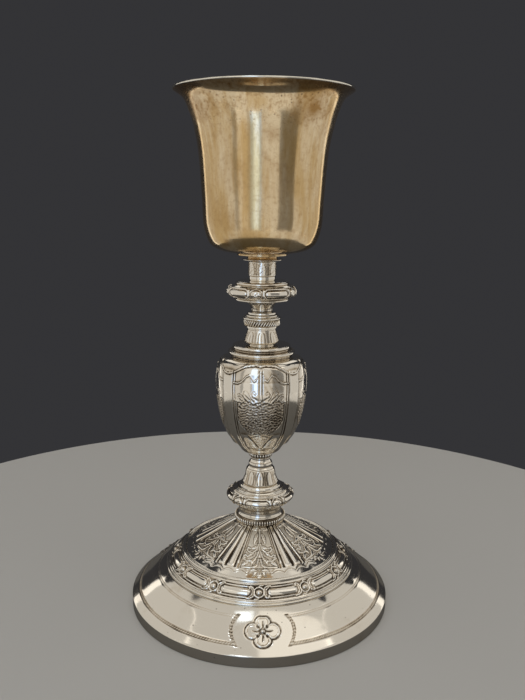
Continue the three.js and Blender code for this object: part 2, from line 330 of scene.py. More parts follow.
# Geometry Nodes tree: turns an open or closed [radius, height] line about the axis.
def turningTree():
    sockets = [
        ("Geometry", "Geometry", None), ("Facets", "Int", 180), ("Merge Distance", "Float", 1e-6),
        ("Material", "Material", None),
    ]
    tree, start, end = newTree("turning", "GeometryNodeTree", sockets, [("Geometry", "Geometry", None)])
    line = start.outputs["Geometry"]
    rows = node(tree, "GeometryNodeAttributeDomainSize", {"Geometry": line}, component="MESH").outputs["Point Count"]
    columns = maths(tree, "ADD", start.outputs["Facets"], 1)
    grid = node(tree, "GeometryNodeMeshGrid", {"Vertices X": columns, "Vertices Y": rows})
    index = node(tree, "GeometryNodeInputIndex")
    row = maths(tree, "MODULO", index, rows)
    column = maths(tree, "FLOOR", maths(tree, "DIVIDE", maths(tree, "ADD", index, 0.5), rows))
    turn = times(tree, maths(tree, "DIVIDE", column, start.outputs["Facets"]), math.tau)

    def onLine(kind, value):
        inputs = {"Geometry": line, "Value": value, "Index": row}
        return node(tree, "GeometryNodeSampleIndex", inputs, data_type=kind, domain="POINT")

    place = onLine("FLOAT_VECTOR", node(tree, "GeometryNodeInputPosition"))
    turned = node(tree, "ShaderNodeVectorRotate", {"Vector": place, "Angle": turn}, rotation_type="Z_AXIS")
    body = node(tree, "GeometryNodeSetPosition", {"Geometry": grid.outputs["Mesh"], "Position": turned})
    outside = node(tree, "GeometryNodeInputNamedAttribute", {"Name": "outside"}, data_type="FLOAT")
    body = node(tree, "GeometryNodeStoreNamedAttribute", {
        "Geometry": body, "Name": "outside", "Value": onLine("FLOAT", outside),
    }, data_type="FLOAT", domain="POINT")
    body = node(tree, "GeometryNodeMergeByDistance", {"Geometry": body, "Distance": start.outputs["Merge Distance"]})
    return finishTree(tree, start, end, body)


def finishTree(tree, start, end, body):
    body = node(tree, "GeometryNodeSetShadeSmooth", {"Geometry": body})
    body = node(tree, "GeometryNodeRealizeInstances", {"Geometry": body})
    body = node(tree, "GeometryNodeSetMaterial", {"Geometry": body, "Material": start.outputs["Material"]})
    link(tree, body, end.inputs["Geometry"])
    return tree


# Geometry Nodes tree: sets small rounded forms in a ring round the axis.
def ringTree():
    sockets = [
        ("Geometry", "Geometry", None), ("Count", "Int", 12), ("Ring Radius", "Float", 0.01), ("Height", "Float", 0),
        ("Size", "Vector", (0.001, 0.001, 0.001)), ("Lean", "Vector", (0, 0, 0)), ("Sides", "Int", 10),
        ("Material", "Material", None),
    ]
    tree, start, end = newTree("ring of forms", "GeometryNodeTree", sockets, [("Geometry", "Geometry", None)])
    index = node(tree, "GeometryNodeInputIndex")
    step = maths(tree, "DIVIDE", math.tau, start.outputs["Count"])
    turn = times(tree, index, step)
    front = node(tree, "ShaderNodeCombineXYZ", {
        "Y": times(tree, start.outputs["Ring Radius"], -1), "Z": start.outputs["Height"],
    })
    place = node(tree, "ShaderNodeVectorRotate", {"Vector": front, "Angle": turn}, rotation_type="Z_AXIS")
    points = node(tree, "GeometryNodePoints", {"Count": start.outputs["Count"], "Position": place})
    form = node(tree, "GeometryNodeMeshUVSphere", {"Segments": start.outputs["Sides"], "Rings": 6, "Radius": 0.5})
    form = node(tree, "GeometryNodeTransform", {"Geometry": form.outputs["Mesh"], "Scale": start.outputs["Size"]})
    form = node(tree, "GeometryNodeTransform", {"Geometry": form, "Rotation": start.outputs["Lean"]})
    facing = node(tree, "FunctionNodeEulerToRotation", {0: node(tree, "ShaderNodeCombineXYZ", {"Z": turn})})
    ring = node(tree, "GeometryNodeInstanceOnPoints", {"Points": points, "Instance": form, "Rotation": facing})
    return finishTree(tree, start, end, ring)


turning = turningTree()
ringOfForms = ringTree()


def runTree(name, mesh, tree, values):
    piece = bpy.data.objects.new(name, mesh)
    scene.collection.objects.link(piece)
    modifier = piece.modifiers.new("shape", "NODES")
    modifier.node_group = tree
    for item in tree.interface.items_tree:
        if item.in_out == "INPUT" and item.name in values:
            modifier[item.identifier] = values[item.name]
    graph = bpy.context.evaluated_depsgraph_get()
    plain = bpy.data.meshes.new_from_object(piece.evaluated_get(graph))
    piece.modifiers.clear()
    piece.data = plain
    plain.name = name
    return piece


# Outlines of turned pieces, as runs of [radius, height] points in mm. Each run is one smooth line, and two runs meet
# in an edge that is rounded a little.
def throughPoints(points, step):
    points = np.array(points, float)
    chord = np.r_[0, np.cumsum(np.hypot(*np.diff(points, axis=0).T))]
    count = max(2, int(round(chord[-1] / step)) + 1)
    straight = np.tile((points[1] - points[0]) / chord[1], (2, 1))
    slopes = np.gradient(points, chord, axis=0) if len(points) > 2 else straight
    at = np.linspace(0, chord[-1], count)
    i = np.clip(np.searchsorted(chord, at, side="right") - 1, 0, len(points) - 2)
    width = (chord[i + 1] - chord[i])[:, None]
    t = (at - chord[i])[:, None] / width
    ahead = t * t * (3 - 2 * t)
    bend = t * (1 - t) ** 2 * width * slopes[i] + t * t * (t - 1) * width * slopes[i + 1]
    return (1 - ahead) * points[i] + ahead * points[i + 1] + bend


edgeRadius = {"foot": 0.25, "stem": 0.2, "bowl": 0.2}
edgeShare = 0.45  # an edge takes up at most this share of the runs that meet in it
edgePoints = 5
capStep = 4  # level caps need few rows


def outlineOf(runs, step, edge):
    steps = [capStep * step if run[0][1] == run[-1][1] else step for run in runs]
    line = throughPoints(runs[0], steps[0])
    for run, rowStep in zip(runs[1:], steps[1:]):
        following = throughPoints(run, rowStep)
        corner = line[-1]
        shorter = min(np.hypot(*(line[0] - corner)), np.hypot(*(following[-1] - corner)))
        reach = min(edge, edgeShare * shorter)
        before = line[np.hypot(*(line - corner).T) > reach]
        after = following[np.hypot(*(following - corner).T) > reach]
        start = corner + (before[-1] - corner) * reach / np.hypot(*(before[-1] - corner))
        stop = corner + (after[0] - corner) * reach / np.hypot(*(after[0] - corner))
        t = np.linspace(0, 1, edgePoints)[:, None]
        line = np.vstack([before, (1 - t) ** 2 * start + 2 * t * (1 - t) * corner + t * t * stop, after])
    return line


# A section is a list of [is outside, points], anticlockwise: up the outside and down the inside.
def turned(name, section, bottom, facets, material):
    points = np.vstack([run for _, run in section]) * mm
    flags = np.concatenate([np.full(len(run), isOutside) for isOutside, run in section])
    mesh = bpy.data.meshes.new(name)
    mesh.from_pydata([(r, 0, z + bottom * mm) for r, z in points], [(i, i + 1) for i in range(len(points) - 1)], [])
    mesh.attributes.new("outside", "FLOAT", "POINT").data.foreach_set("value", flags.astype(np.float32))
    return runTree(name, mesh, turning, {"Facets": facets, "Merge Distance": 1e-6, "Material": material})


def sectionOf(outside, inside):
    inside = np.array(inside, float)
    if outside[-1, 0] < 0.01 and inside[0, 0] < 0.01:  # a cap: the axis is crossed twice, so it starts there
        return [(0, inside), (1, outside)]
    return [(1, outside), (0, inside), (1, outside[:1])]


def readPoints(mesh):
    points = np.empty(len(mesh.vertices) * 3, np.float32)
    mesh.vertices.foreach_get("co", points)
    return points.reshape(-1, 3).astype(float)


def readNormals(mesh):
    normals = np.empty(len(mesh.vertices) * 3, np.float32)
    mesh.vertex_normals.foreach_get("vector", normals)
    return normals.reshape(-1, 3).astype(float)


def spread(values, ends, times):
    first, second = ends.T
    count = len(values)
    share = 1 + np.bincount(first, minlength=count) + np.bincount(second, minlength=count)
    for _ in range(times):
        around = np.bincount(first, values[second], count) + np.bincount(second, values[first], count)
        values = (values + around) / share
    return values


hollows = {"times": 10, "gain": 6.0}  # how widely a hollow is looked for, and how dark each mm of it is


# Raises and sinks a turned piece's outside by a relief in mm, and stores where it is recessed and where painted shade
# and painted reflections darken it, where it is worn bright and where it is matte.
def carve(piece, relief, bottom):
    mesh = piece.data
    points = readPoints(mesh)
    normals = readNormals(mesh)
    x, y, z = points.T / mm
    bearing = np.degrees(np.arctan2(x, -y))
    outside = np.empty(len(points), np.float32)
    mesh.attributes["outside"].data.foreach_get("value", outside)
    rise, matte, dark = relief(bearing, np.hypot(x, y), z - bottom)
    rise = rise * outside
    ends = np.empty(len(mesh.edges) * 2, np.int32)
    mesh.edges.foreach_get("vertices", ends)
    ends = ends.reshape(-1, 2)
    hollow = spread(rise, ends, hollows["times"]) - rise
    # tarnish in the hollows plus the relief's dark marks, among them painted shade and painted reflections
    darkness = hollow * hollows["gain"] + dark * outside
    recess_and_shade = np.clip(darkness, 0, 1)
    worn = np.clip(-darkness, 0, 1)
    points += normals * (rise * mm)[:, None]
    mesh.vertices.foreach_set("co", points.astype(np.float32).ravel())
    mesh.update()
    for name, values in (("recess_and_shade", recess_and_shade), ("worn", worn), ("matte", matte * outside)):
        mesh.attributes.new(name, "FLOAT", "POINT").data.foreach_set("value", values.astype(np.float32))
    mesh.attributes.remove(mesh.attributes["outside"])


def settle(piece, slotName, *nodes):
    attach(piece, "root")
    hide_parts(*nodes)
    print(piece.name, len(piece.data.polygons), "faces")


# Chasing tools. A distance is in mm, below 0 inside a form.
def soft(distance, width):
    t = np.clip(0.5 - distance / width, 0, 1)
    return t * t * (3 - 2 * t)


def line(distance, width):
    return np.exp(-((2 * distance / width) ** 2))


def dome(distance, width):
    return np.sqrt(np.clip(1 - (distance / width) ** 2, 0, 1))


def wrap(bearing, repeats, first=0.0):
    width = 360 / repeats
    return (bearing - first + width / 2) % width - width / 2


def bar(x, y, halfLength, halfHeight):
    return np.hypot(np.maximum(np.abs(x) - (halfLength - halfHeight), 0), y) - halfHeight


def stroke(x, y, points):
    nearest = np.full(x.shape, 1e9)
    for (ax, ay), (bx, by) in zip(points, points[1:]):
        along = np.clip(((x - ax) * (bx - ax) + (y - ay) * (by - ay)) / ((bx - ax) ** 2 + (by - ay) ** 2), 0, 1)
        nearest = np.minimum(nearest, np.hypot(x - ax - along * (bx - ax), y - ay - along * (by - ay)))
    return nearest


# A pointed leaf from its foot to its tip: its height from 0 to 1, and its signed distance.
def blade(x, y, foot, tip, half, bow=0.0):
    dx, dy = tip[0] - foot[0], tip[1] - foot[1]
    length = math.hypot(dx, dy)
    t = ((x - foot[0]) * dx + (y - foot[1]) * dy) / length**2
    inside = np.clip(t, 0, 1)
    side = ((x - foot[0]) * -dy + (y - foot[1]) * dx) / length - bow * 4 * inside * (1 - inside)
    width = half * np.sin(np.pi * inside**0.75) ** 0.8 + 1e-3
    off = np.maximum(np.abs(side) - width, np.abs(t - 0.5) * length - length / 2)
    veins = 0.12 * np.sin((t * length - np.abs(side)) * 5.2)
    height = (dome(side, width) * (1 - 0.5 * line(side, 0.5)) + veins) * (off < 0)
    return np.clip(height, 0, 1), off


# Punched ground: small rounded dots that stand close together.
def pounced(x, y, pitch):
    row = np.floor(y / pitch)
    shift = x / pitch + 0.5 * (row % 2)
    column = np.floor(shift)
    wander = np.sin(row * 12.9898 + column * 78.233) * 43758.5453
    wander = (wander - np.floor(wander) - 0.5) * 0.5
    away = (shift - column - 0.5 - wander) ** 2 + (y / pitch - row - 0.5 + wander * 0.7) ** 2
    return np.clip(1 - away / 0.17, 0, 1)


# The foot, in three rings of sheet metal: mound, drum and slope.
footMound = {
    "outside": [
        [(41.1, 29.7), (41.15, 30.2)], [(41.1, 30.3), (33, 34.7), (25, 39.2), (18, 43.4), (13.4, 46)],
        [(13.4, 46), (0, 46)],
    ],
    "inside": [(0, 44.8), (12.2, 44.8), (25, 37.4), (40.6, 29.0)],
    "facets": 600,
    "step": 0.31,
    "panels": 6,
    "panelSide": 17.2,
    "panelFrom": 15.0,
    "panelTo": 36.0,
    "dotPitch": 0.82,
    "scallops": (39.1, 1.7),  # radius, and how far they dip
    "tongues": ((4.5, 3.2, 35.9, 1.0), (10.3, 1.1, 33.4, 0.85)),  # middle, half width, end and share of the height
    "furrows": ((0.0, 35.6, 1.0), (8.5, 35.4, 1.0), (12.3, 35.6, 0.6)),  # middle, end and depth
    "tongueHeight": 0.46,
    "grooveDepth": 0.252,
    "leafHeight": 0.26,
}
panelLeaves = [  # foot, tip, half width and bow of each leaf beside a panel's middle, as [across, radius]
    ((1.0, 16.6), (2.9, 22.8), 0.85, -0.3),
    ((1.5, 23.4), (4.6, 24.9), 0.75, 0.5),
    ((3.0, 27.4), (5.9, 29.5), 0.75, -0.4),
    ((1.7, 29.6), (4.3, 33.6), 0.85, -0.5),
    ((6.0, 32.4), (9.6, 34.9), 0.85, -0.4),
    ((0.9, 33.0), (2.9, 35.6), 0.7, -0.3),
    ((7.4, 29.6), (9.0, 31.6), 0.6, -0.3),
]
panelScrolls = [
    [(0.6, 22.5), (1.6, 25.6), (3.6, 27.0), (5.6, 26.8), (6.6, 25.6), (6.0, 24.5), (5.0, 25.0)],
    [(0.6, 26.5), (1.6, 29.4), (3.8, 31.4), (6.6, 31.8), (8.4, 30.6), (8.4, 29.0), (7.2, 28.5), (6.3, 29.4)],
    [(0.5, 30.4), (1.4, 33.0), (3.6, 34.9), (6.6, 35.2), (9.4, 35.3)],
]
budLeaves = [
    ((0.0, 35.8), (0.0, 41.0), 1.05, 0.0),
    ((0.5, 36.4), (3.1, 39.4), 0.8, -0.5),
    ((1.2, 36.5), (5.6, 38.2), 0.7, -0.6),
]


def moundRelief(bearing, radius, height):
    look = footMound
    turn = wrap(bearing, look["panels"])
    side = np.abs(turn)
    across = radius * np.radians(side)
    gap = 180 / look["panels"] - side
    rise = np.zeros_like(radius)
    cuts = np.zeros_like(radius)

    # the scalloped edge of the ornament, a thin raised line on the plain strip
    scallops, dip = look["scallops"]
    wave = scallops - dip * np.abs(np.sin(np.pi * side / 10)) ** 0.8
    edge = radius - wave
    rise += 0.20 * line(edge, 0.42)
    cuts = np.maximum(cuts, 0.4 * line(edge + 0.5, 0.42))
    inner = radius - wave + 1.2
    hang = soft(side - 20, 2.0) * soft(4 - side, 1.5)
    rise += 0.12 * line(inner, 0.42) * hang

    # two smooth tongues and two ribs between the panels
    for middle, half, end, high in look["tongues"]:
        roundEnd = np.maximum(radius - (end - 1.6), 0) / 1.6
        body = np.sqrt(np.clip(1 - ((gap - middle) / half) ** 4 - roundEnd**2, 0, 1))
        rise += look["tongueHeight"] * high * body
    for middle, end, depth in look["furrows"]:
        away = np.hypot(radius * np.radians(gap - middle), np.maximum(radius - end, 0))
        width = 0.55 + 0.6 * np.clip((radius - 14) / 20, 0, 1)
        cuts = np.maximum(cuts, 1.5 * depth * line(away, width))

    # the panel: a finely punched ground inside a thin frame, with a reeded stem, scrolls and small leaves
    frameLine = np.maximum(radius * np.radians(side - look["panelSide"]), radius - look["panelTo"])
    belowNeck = soft(look["panelFrom"] - radius, 1.0)
    inPanel = soft(frameLine, 0.4) * belowNeck
    rise += 0.18 * line(frameLine, 0.5) * belowNeck
    cuts = np.maximum(cuts, 0.6 * line(frameLine + 0.5, 0.4) * belowNeck)
    dots = pounced(across, radius, look["dotPitch"]) * inPanel * soft(22 - radius, 3)
    leaves = np.zeros_like(radius)
    outline = np.zeros_like(radius)
    for foot, tip, half, bow in panelLeaves:
        high, off = blade(across, radius, foot, tip, half, bow)
        leaves = np.maximum(leaves, high)
        outline = np.maximum(outline, line(off - 0.1, 0.36) * (off > -0.15))
    for points in panelScrolls:
        away = stroke(across, radius, points)
        leaves = np.maximum(leaves, 0.8 * dome(away, 0.42))
        outline = np.maximum(outline, line(away - 0.55, 0.34))
    leaves *= inPanel
    outline *= inPanel * (leaves < 0.1)
    for foot, tip, half, bow in budLeaves:
        high, off = blade(across, radius, foot, tip, half, bow)
        leaves = np.maximum(leaves, high)
        outline = np.where(off < 0, 0, np.maximum(outline, line(off - 0.1, 0.36)))
    rise += inPanel * (0.15 * dots - 0.16) * (leaves < 0.02) + look["leafHeight"] * leaves
    stem = dome(across, 0.45) * soft(radius - 29, 1.5) * soft(14.2 - radius, 0.6)
    reeds = sum(line(across - place, 0.36) for place in (0.62, 1.25))
    reeds = reeds * soft(radius - 23.5, 2.0) * soft(14.2 - radius, 0.6)
    rise += 0.24 * stem
    cuts = np.maximum(cuts, np.maximum(0.8 * outline, 0.8 * reeds))
    rise -= look["grooveDepth"] * cuts
    matte = 0.7 * inPanel * (leaves < 0.05)
    dark = 0.08 * inPanel * (1 - dots) * (leaves < 0.05) + 0.55 * np.minimum(cuts, 1.2) - 0.25 * soft(35.5 - radius, 1)
    return rise, matte, dark


footDrum = {
    "outside": [
        [(51.3, 20.2), (51.6, 20.9)], [(51.6, 20.9), (52.1, 21.3), (52.2, 21.8), (51.8, 22.35), (51.05, 22.3)],
        [(51.05, 22.3), (51.05, 22.7)], [(51.05, 22.7), (50.75, 23.2), (50.15, 23.0)], [(50.15, 23.0), (49.8, 23.4)],
        [(49.8, 23.4), (46.9, 26.3), (43.9, 28.9)], [(43.9, 28.9), (43.2, 29.3), (43.35, 29.8)],
        [(43.35, 29.8), (43.1, 30.5), (42.4, 30.9), (41.6, 30.75), (41.1, 30.1)], [(41.1, 30.1), (40.7, 29.4)],
    ],
    "inside": [(40.0, 28.8), (45.4, 25.2), (49.9, 20.9), (51.2, 19.8)],
    "facets": 760,
    "step": 0.29,
    "repeats": 12,
    "middleRadius": 47.2,
    "bandHalf": 3.85,
    "pillow": (8.1, 1.95),
    "pillowHeight": 0.85,
    "settingRadius": 3.15,
    "rimHeight": 0.6,
    "sunk": 0.28,
    "curls": (  # beside the setting, as [along, up]
        ((2.4, 1.2), (3.1, 2.4), (4.4, 3.1), (6.0, 3.3)),
        ((2.5, -0.9), (3.3, -2.3), (4.4, -3.0), (5.2, -2.5), (4.9, -1.7)),
        ((-0.6, 2.6), (0.6, 3.4), (2.2, 3.6)),
    ),
}


def drumRelief(bearing, radius, height):
    look = footDrum
    turn = wrap(bearing, look["repeats"])
    step = 180 / look["repeats"]
    toward = np.sign(turn)
    x = look["middleRadius"] * np.radians(turn)
    fromBar = look["middleRadius"] * np.radians(step - np.abs(turn))
    y = ((49.8 - radius) * 5.9 + (height - 23.4) * 5.5) / 8.07 - 4.03  # up the slanting side, from its middle
    band = soft(np.abs(y) - look["bandHalf"], 0.5) * (radius > 43.6) * (radius < 50.1)
    pillow = bar(fromBar, y, *look["pillow"])
    body = dome(np.minimum(pillow, 0) + look["pillow"][1], 1.97) * (pillow < 0)
    rise = -look["sunk"] * band + look["pillowHeight"] * body
    rise += look["rimHeight"] * dome(pillow - 0.85, 0.40) - 0.26 * line(pillow - 0.22, 0.42)
    rise = np.where(np.abs(y) > 3.75, np.minimum(rise, 0.1), rise)
    # the round setting between two bars, with a curl on each side that hooks over the bar's end
    away = np.hypot(x, y)
    setting = soft(away - look["settingRadius"], 0.3)
    rise = rise * (1 - setting) - look["sunk"] * band * setting
    rise += look["rimHeight"] * dome(away - 2.55, 0.45)
    cuts = line(away - 3.25, 0.35)
    for points in look["curls"]:
        distance = stroke(x * toward, y * toward, points)
        rise = np.maximum(rise, band * (0.5 * dome(distance, 0.42) - 0.12))
        cuts = np.maximum(cuts, line(distance - 0.6, 0.35) * (away > 3.1))
    rise -= 0.2 * cuts * band * (1 - body)
    dark = band * (1 - body) * (0.40 + 0.30 * soft(rise, 0.4) + 0.5 * cuts + 0.6 * line(pillow - 0.22, 0.4))
    return rise, 0.35 * band * (rise < 0), dark


footSlope = {
    "outside": [
        [(71.15, 0), (71.4, 0.25)], [(71.4, 0.25), (71.4, 5.8)], [(71.4, 5.8), (70.9, 6.15)],
        [(70.9, 6.15), (64, 12.0), (57, 17.75), (54.2, 19.75), (52.3, 21.0)], [(52.3, 21.0), (51.2, 21.2)],
    ],
    "inside": [(51.0, 19.6), (53.8, 18.7), (55.9, 16.7), (64, 10.6), (70.2, 4.8), (70.2, 0)],
    "facets": 840,
    "step": 0.36,
    "flowers": 3,
    "flowerRadius": 61.9,
    "flowerTurn": 1.8,
    "levelShare": 0.765,
    "carvedFrom": 53.5,
    "carvedTo": 70.6,
    "ribbonLow": 67.3,
    "ribbonHigh": 56.4,
    "ribbonEnd": 15.7,
    "ribbonBow": (62.4, 5.2, 2.5),  # middle and half length of the ribbons' bowed ends, and how far they bow
}
petals = [  # middle and half sizes of each petal, in mm from the flower's centre
    ((4.9, 0.1), (3.7, 3.8)),
    ((-4.9, 0.1), (3.7, 3.8)),
    ((0.0, 4.4), (4.0, 3.4)),
    ((0.0, -4.5), (3.9, 3.3)),
]


def slopeRelief(bearing, radius, height):
    look = footSlope
    turn = wrap(bearing, look["flowers"], look["flowerTurn"])
    x = look["flowerRadius"] * np.radians(turn)
    y = (look["flowerRadius"] - radius) / look["levelShare"]  # up the slope
    onSlope = (radius > look["carvedFrom"]) & (radius < look["carvedTo"]) & (height > 6)
    away = np.hypot(x, y)
    distances = np.array([
        (np.hypot((x - cx) / ax, (y - cy) / ay) - 1) * min(ax, ay) for (cx, cy), (ax, ay) in petals
    ])
    sideways = np.abs(x) > np.abs(y) * 1.02
    own = np.where(sideways, distances[:2].min(axis=0), distances[2:].min(axis=0))
    own = np.maximum(own, np.where(sideways, -9.0, y - 7.4))  # the upper petal is flat at its top
    body = soft(own, 0.5)
    rise = 0.42 * body - 0.22 * body * dome(own + 3.2, 2.6) - 0.30 * line(own - 0.2, 0.7)
    rise -= 0.16 * line(own + 1.0, 0.5) * (away > 3.4)
    seam = np.abs(np.abs(x) - np.abs(y) * 1.02) / 1.42
    rise -= 0.32 * line(seam, 0.6) * (away < 5.6) * (away > 1.6)
    rise += 0.85 * dome(away, 1.25) - 0.35 * line(away - 1.55, 0.5)
    dark = 0.50 * line(own - 0.2, 0.55) + 0.28 * line(own + 1.0, 0.5) * (away > 3.4)
    dark += 0.22 * body * soft(away - 4.4, 1.6)
    dark += 0.7 * line(seam, 0.55) * (away < 5.6) * (away > 1.6) + 0.8 * line(away - 1.5, 0.55)
    aside, aloft = np.abs(x) - 2.2, np.abs(y) - 2.2
    diagonal = np.hypot(aside * 0.72 + aloft * 0.72, aside - aloft)
    holes = soft(diagonal - 0.85, 0.4)
    rise -= 0.55 * holes
    dark += 2.2 * holes
    for u, v in ((x, y), (y, x)):
        reach = np.abs(u)
        narrow = np.clip((5.2 - reach) / 3.2, 0, 1) * 0.42 + 0.06
        stamen = soft(np.abs(v) - narrow, 0.35) * (reach > 1.7) * (reach < 5.2)
        rise -= 0.28 * stamen
        dark += 1.3 * stamen
    near = soft(away - 12, 1.0)
    rise, dark = rise * near, dark * near

    # narrow ribbons that frame the bare fields between the flowers, the upper one nearly polished away
    across = np.abs(radius * np.radians(turn))
    bowMiddle, bowHalf, bow = look["ribbonBow"]
    end = look["ribbonEnd"] - bow * ((radius - bowMiddle) / bowHalf) ** 2
    ribbon = np.maximum.reduce([end - across, radius - look["ribbonLow"], look["ribbonHigh"] - radius])
    atEnd = across - end < 1.2
    strength = np.where(atEnd | (radius > 60), 1.0, 0.35)
    half = np.where(atEnd, 0.72, 0.5)
    onRibbon = soft(np.abs(ribbon + 0.2) - half, 0.3) * strength
    borders = line(np.abs(ribbon + 0.2) - half, 0.36) * strength
    twist = np.sin((radius * 1.3 + np.where(atEnd, 0, radius * np.radians(turn))) * 4.2)
    rise += onRibbon * (0.05 * twist - 0.07) - 0.10 * borders
    dark += 0.30 * onRibbon + 0.30 * borders
    return rise * onSlope, 0.9 * onRibbon * onSlope, dark * onSlope


footBosses = {
    "count": 12, "radius": 47.0, "height": 26.3, "size": (3.5, 2.6, 3.5), "lean": (-43, 0, 0), "sides": 20,
}


# Darkens the inner part of each form in a ring with painted shade where it sits against the piece, from its radius
# outwards to where it is left as it is.
def shadeBeads(piece, deep, high):
    mesh = piece.data
    points = readPoints(mesh) / mm
    out = np.hypot(points[:, 0], points[:, 1])
    recess_and_shade = np.clip((high - out) / (high - deep) - 0.35, 0, 1)
    mesh.attributes.new("recess_and_shade", "FLOAT", "POINT").data.foreach_set("value", recess_and_shade.astype(np.float32))


def makeRing(name, cadNode, look):
    piece = runTree(name, bpy.data.meshes.new(name), ringOfForms, {
        "Count": look["count"],
        "Ring Radius": look["radius"] * mm,
        "Height": (bottomOf(cadNode) + look["height"]) * mm,
        "Size": tuple(part * mm for part in look["size"]),
        "Lean": tuple(math.radians(angle) for angle in look["lean"]),
        "Sides": look["sides"],
        "Material": silver,
    })
    shadeBeads(piece, look["radius"], look["radius"] + look["size"][1] / 2)
    settle(piece, "silver", cadNode)


def makeFoot():
    bottom = bottomOf("foot")
    for name, look, relief in (
        ("foot_mound", footMound, moundRelief),
        ("foot_drum", footDrum, drumRelief),
        ("foot_slope", footSlope, slopeRelief),
    ):
        outside = outlineOf(look["outside"], look["step"], edgeRadius["foot"])
        piece = turned(name, sectionOf(outside, look["inside"]), bottom, look["facets"], silver)
        carve(piece, relief, bottom)
        settle(piece, "silver", "foot")
    makeRing("foot_bosses", "foot", footBosses)


makeFoot()
print("foot made")


# The collar on the mound, with a row of upright beads at its foot.
collar = {
    "outside": [
        [(0, 0), (12.9, 0)], [(12.9, 0), (13.2, 0.5), (13.2, 3.3), (12.9, 3.8)],
        [(12.9, 3.8), (12.3, 4.3), (11.9, 4.6)], [(11.9, 4.6), (11.7, 5.6), (11.9, 7.6), (13.2, 10.2)],
        [(13.2, 10.2), (13.9, 10.6), (14.4, 11.1)], [(14.4, 11.1), (14.4, 11.6)], [(14.4, 11.6), (0, 11.6)],
    ],
    "facets": 160,
    "step": 0.22,
    "rings": ((3.95, 0.45, 0.35), (6.5, 0.35, 0.14), (8.4, 0.5, 0.16)),
    "darkTone": (2.0, 3.4),
}


# Grooves turned round a piece, as height, width and depth: how deep they are cut, and how dark with soil.
def grooves(rings, height, darkness):
    cuts = [(depth, line(height - at, width)) for at, width, depth in rings]
    return sum(depth * cut for depth, cut in cuts), darkness * sum(cut for _, cut in cuts)


def ringsRelief(look):
    middle, width = look["darkTone"]

    def relief(bearing, radius, height):
        cut, dark = grooves(look["rings"], height, 0.55)
        dark = 0.9 * soft(np.abs(height - middle) - width / 2, 0.4) + dark
        return -cut, np.zeros_like(radius), dark

    return relief


def makeTurned(name, look, relief):
    bottom = bottomOf(name)
    outside = outlineOf(look["outside"], look["step"], edgeRadius["stem"])
    piece = turned(name + "_chased", [(1, outside)], bottom, look["facets"], silver)
    carve(piece, relief, bottom)
    settle(piece, "silver", name)


collarBeads = {
    "count": 62, "radius": 13.35, "height": 2.0, "size": (1.05, 2.1, 2.9), "lean": (0, 0, 0), "sides": 10,
}
makeTurned("stem_collar", collar, ringsRelief(collar))
makeRing("collar_beads", "stem_collar", collarBeads)


# Both knops carry a belt of long bars with a bead between two upright collars at each joint.
beltLook = {
    "repeats": 5, "radius": 18.0, "bar": (6.4, 1.75), "barHeight": 0.62, "bead": (2.75, 2.15), "beadHeight": 0.95,
    "post": (2.5, 0.5), "postAway": 4.1, "hook": ((-0.3, -0.4), (0.9, 0.6), (1.3, -0.6), (0.9, -2.2), (2.2, -2.9)),
}


def beltRelief(knop):
    look = beltLook
    turn, middle, half = knop["belt"]

    def relief(bearing, radius, height):
        local = wrap(bearing, look["repeats"], turn)
        x = look["radius"] * np.radians(local)
        fromBar = look["radius"] * np.radians(180 / look["repeats"] - np.abs(local))
        y = height - middle
        belt = soft(np.abs(y) - half, 0.4) * (radius > 15.2)
        pillow = bar(fromBar, y, *look["bar"])
        rise = -0.25 * belt
        rise += look["barHeight"] * belt * dome(np.minimum(pillow, 0) + 1.7, 1.75) * (pillow < 0)
        rise += belt * (0.5 * dome(pillow - 0.75, 0.38) - 0.25 * line(pillow - 0.18, 0.4))
        oval = (np.hypot(x / look["bead"][0], y / look["bead"][1]) - 1) * look["bead"][1]
        rise = np.where(oval < 0, belt * (look["beadHeight"] * dome(oval + 1.8, 1.85) - 0.25), rise)
        rise += belt * 0.30 * dome(oval - 0.55, 0.3)
        post = bar(y, np.abs(x) - look["postAway"], *look["post"])
        rise = np.maximum(rise, belt * (0.62 * soft(post, 0.5) - 0.2))
        hook = stroke(x, y, look["hook"])
        rise -= 0.3 * line(hook, 0.4) * belt
        dark = 0.6 * belt * soft(rise + 0.12, 0.3) + 0.3 * line(hook, 0.4) * belt
        cut, darkness = grooves(knop["rings"], height, 0.5)
        rise, dark = rise - cut, dark + darkness
        spots = np.sin(fromBar * 2.6) * np.sin(y * 3.1 + 0.6)
        dark += 0.25 * belt * (pillow < -0.5) * np.clip(spots - 0.35, 0, 1)
        return rise, 0.4 * belt * (rise < 0.05), dark

    return relief


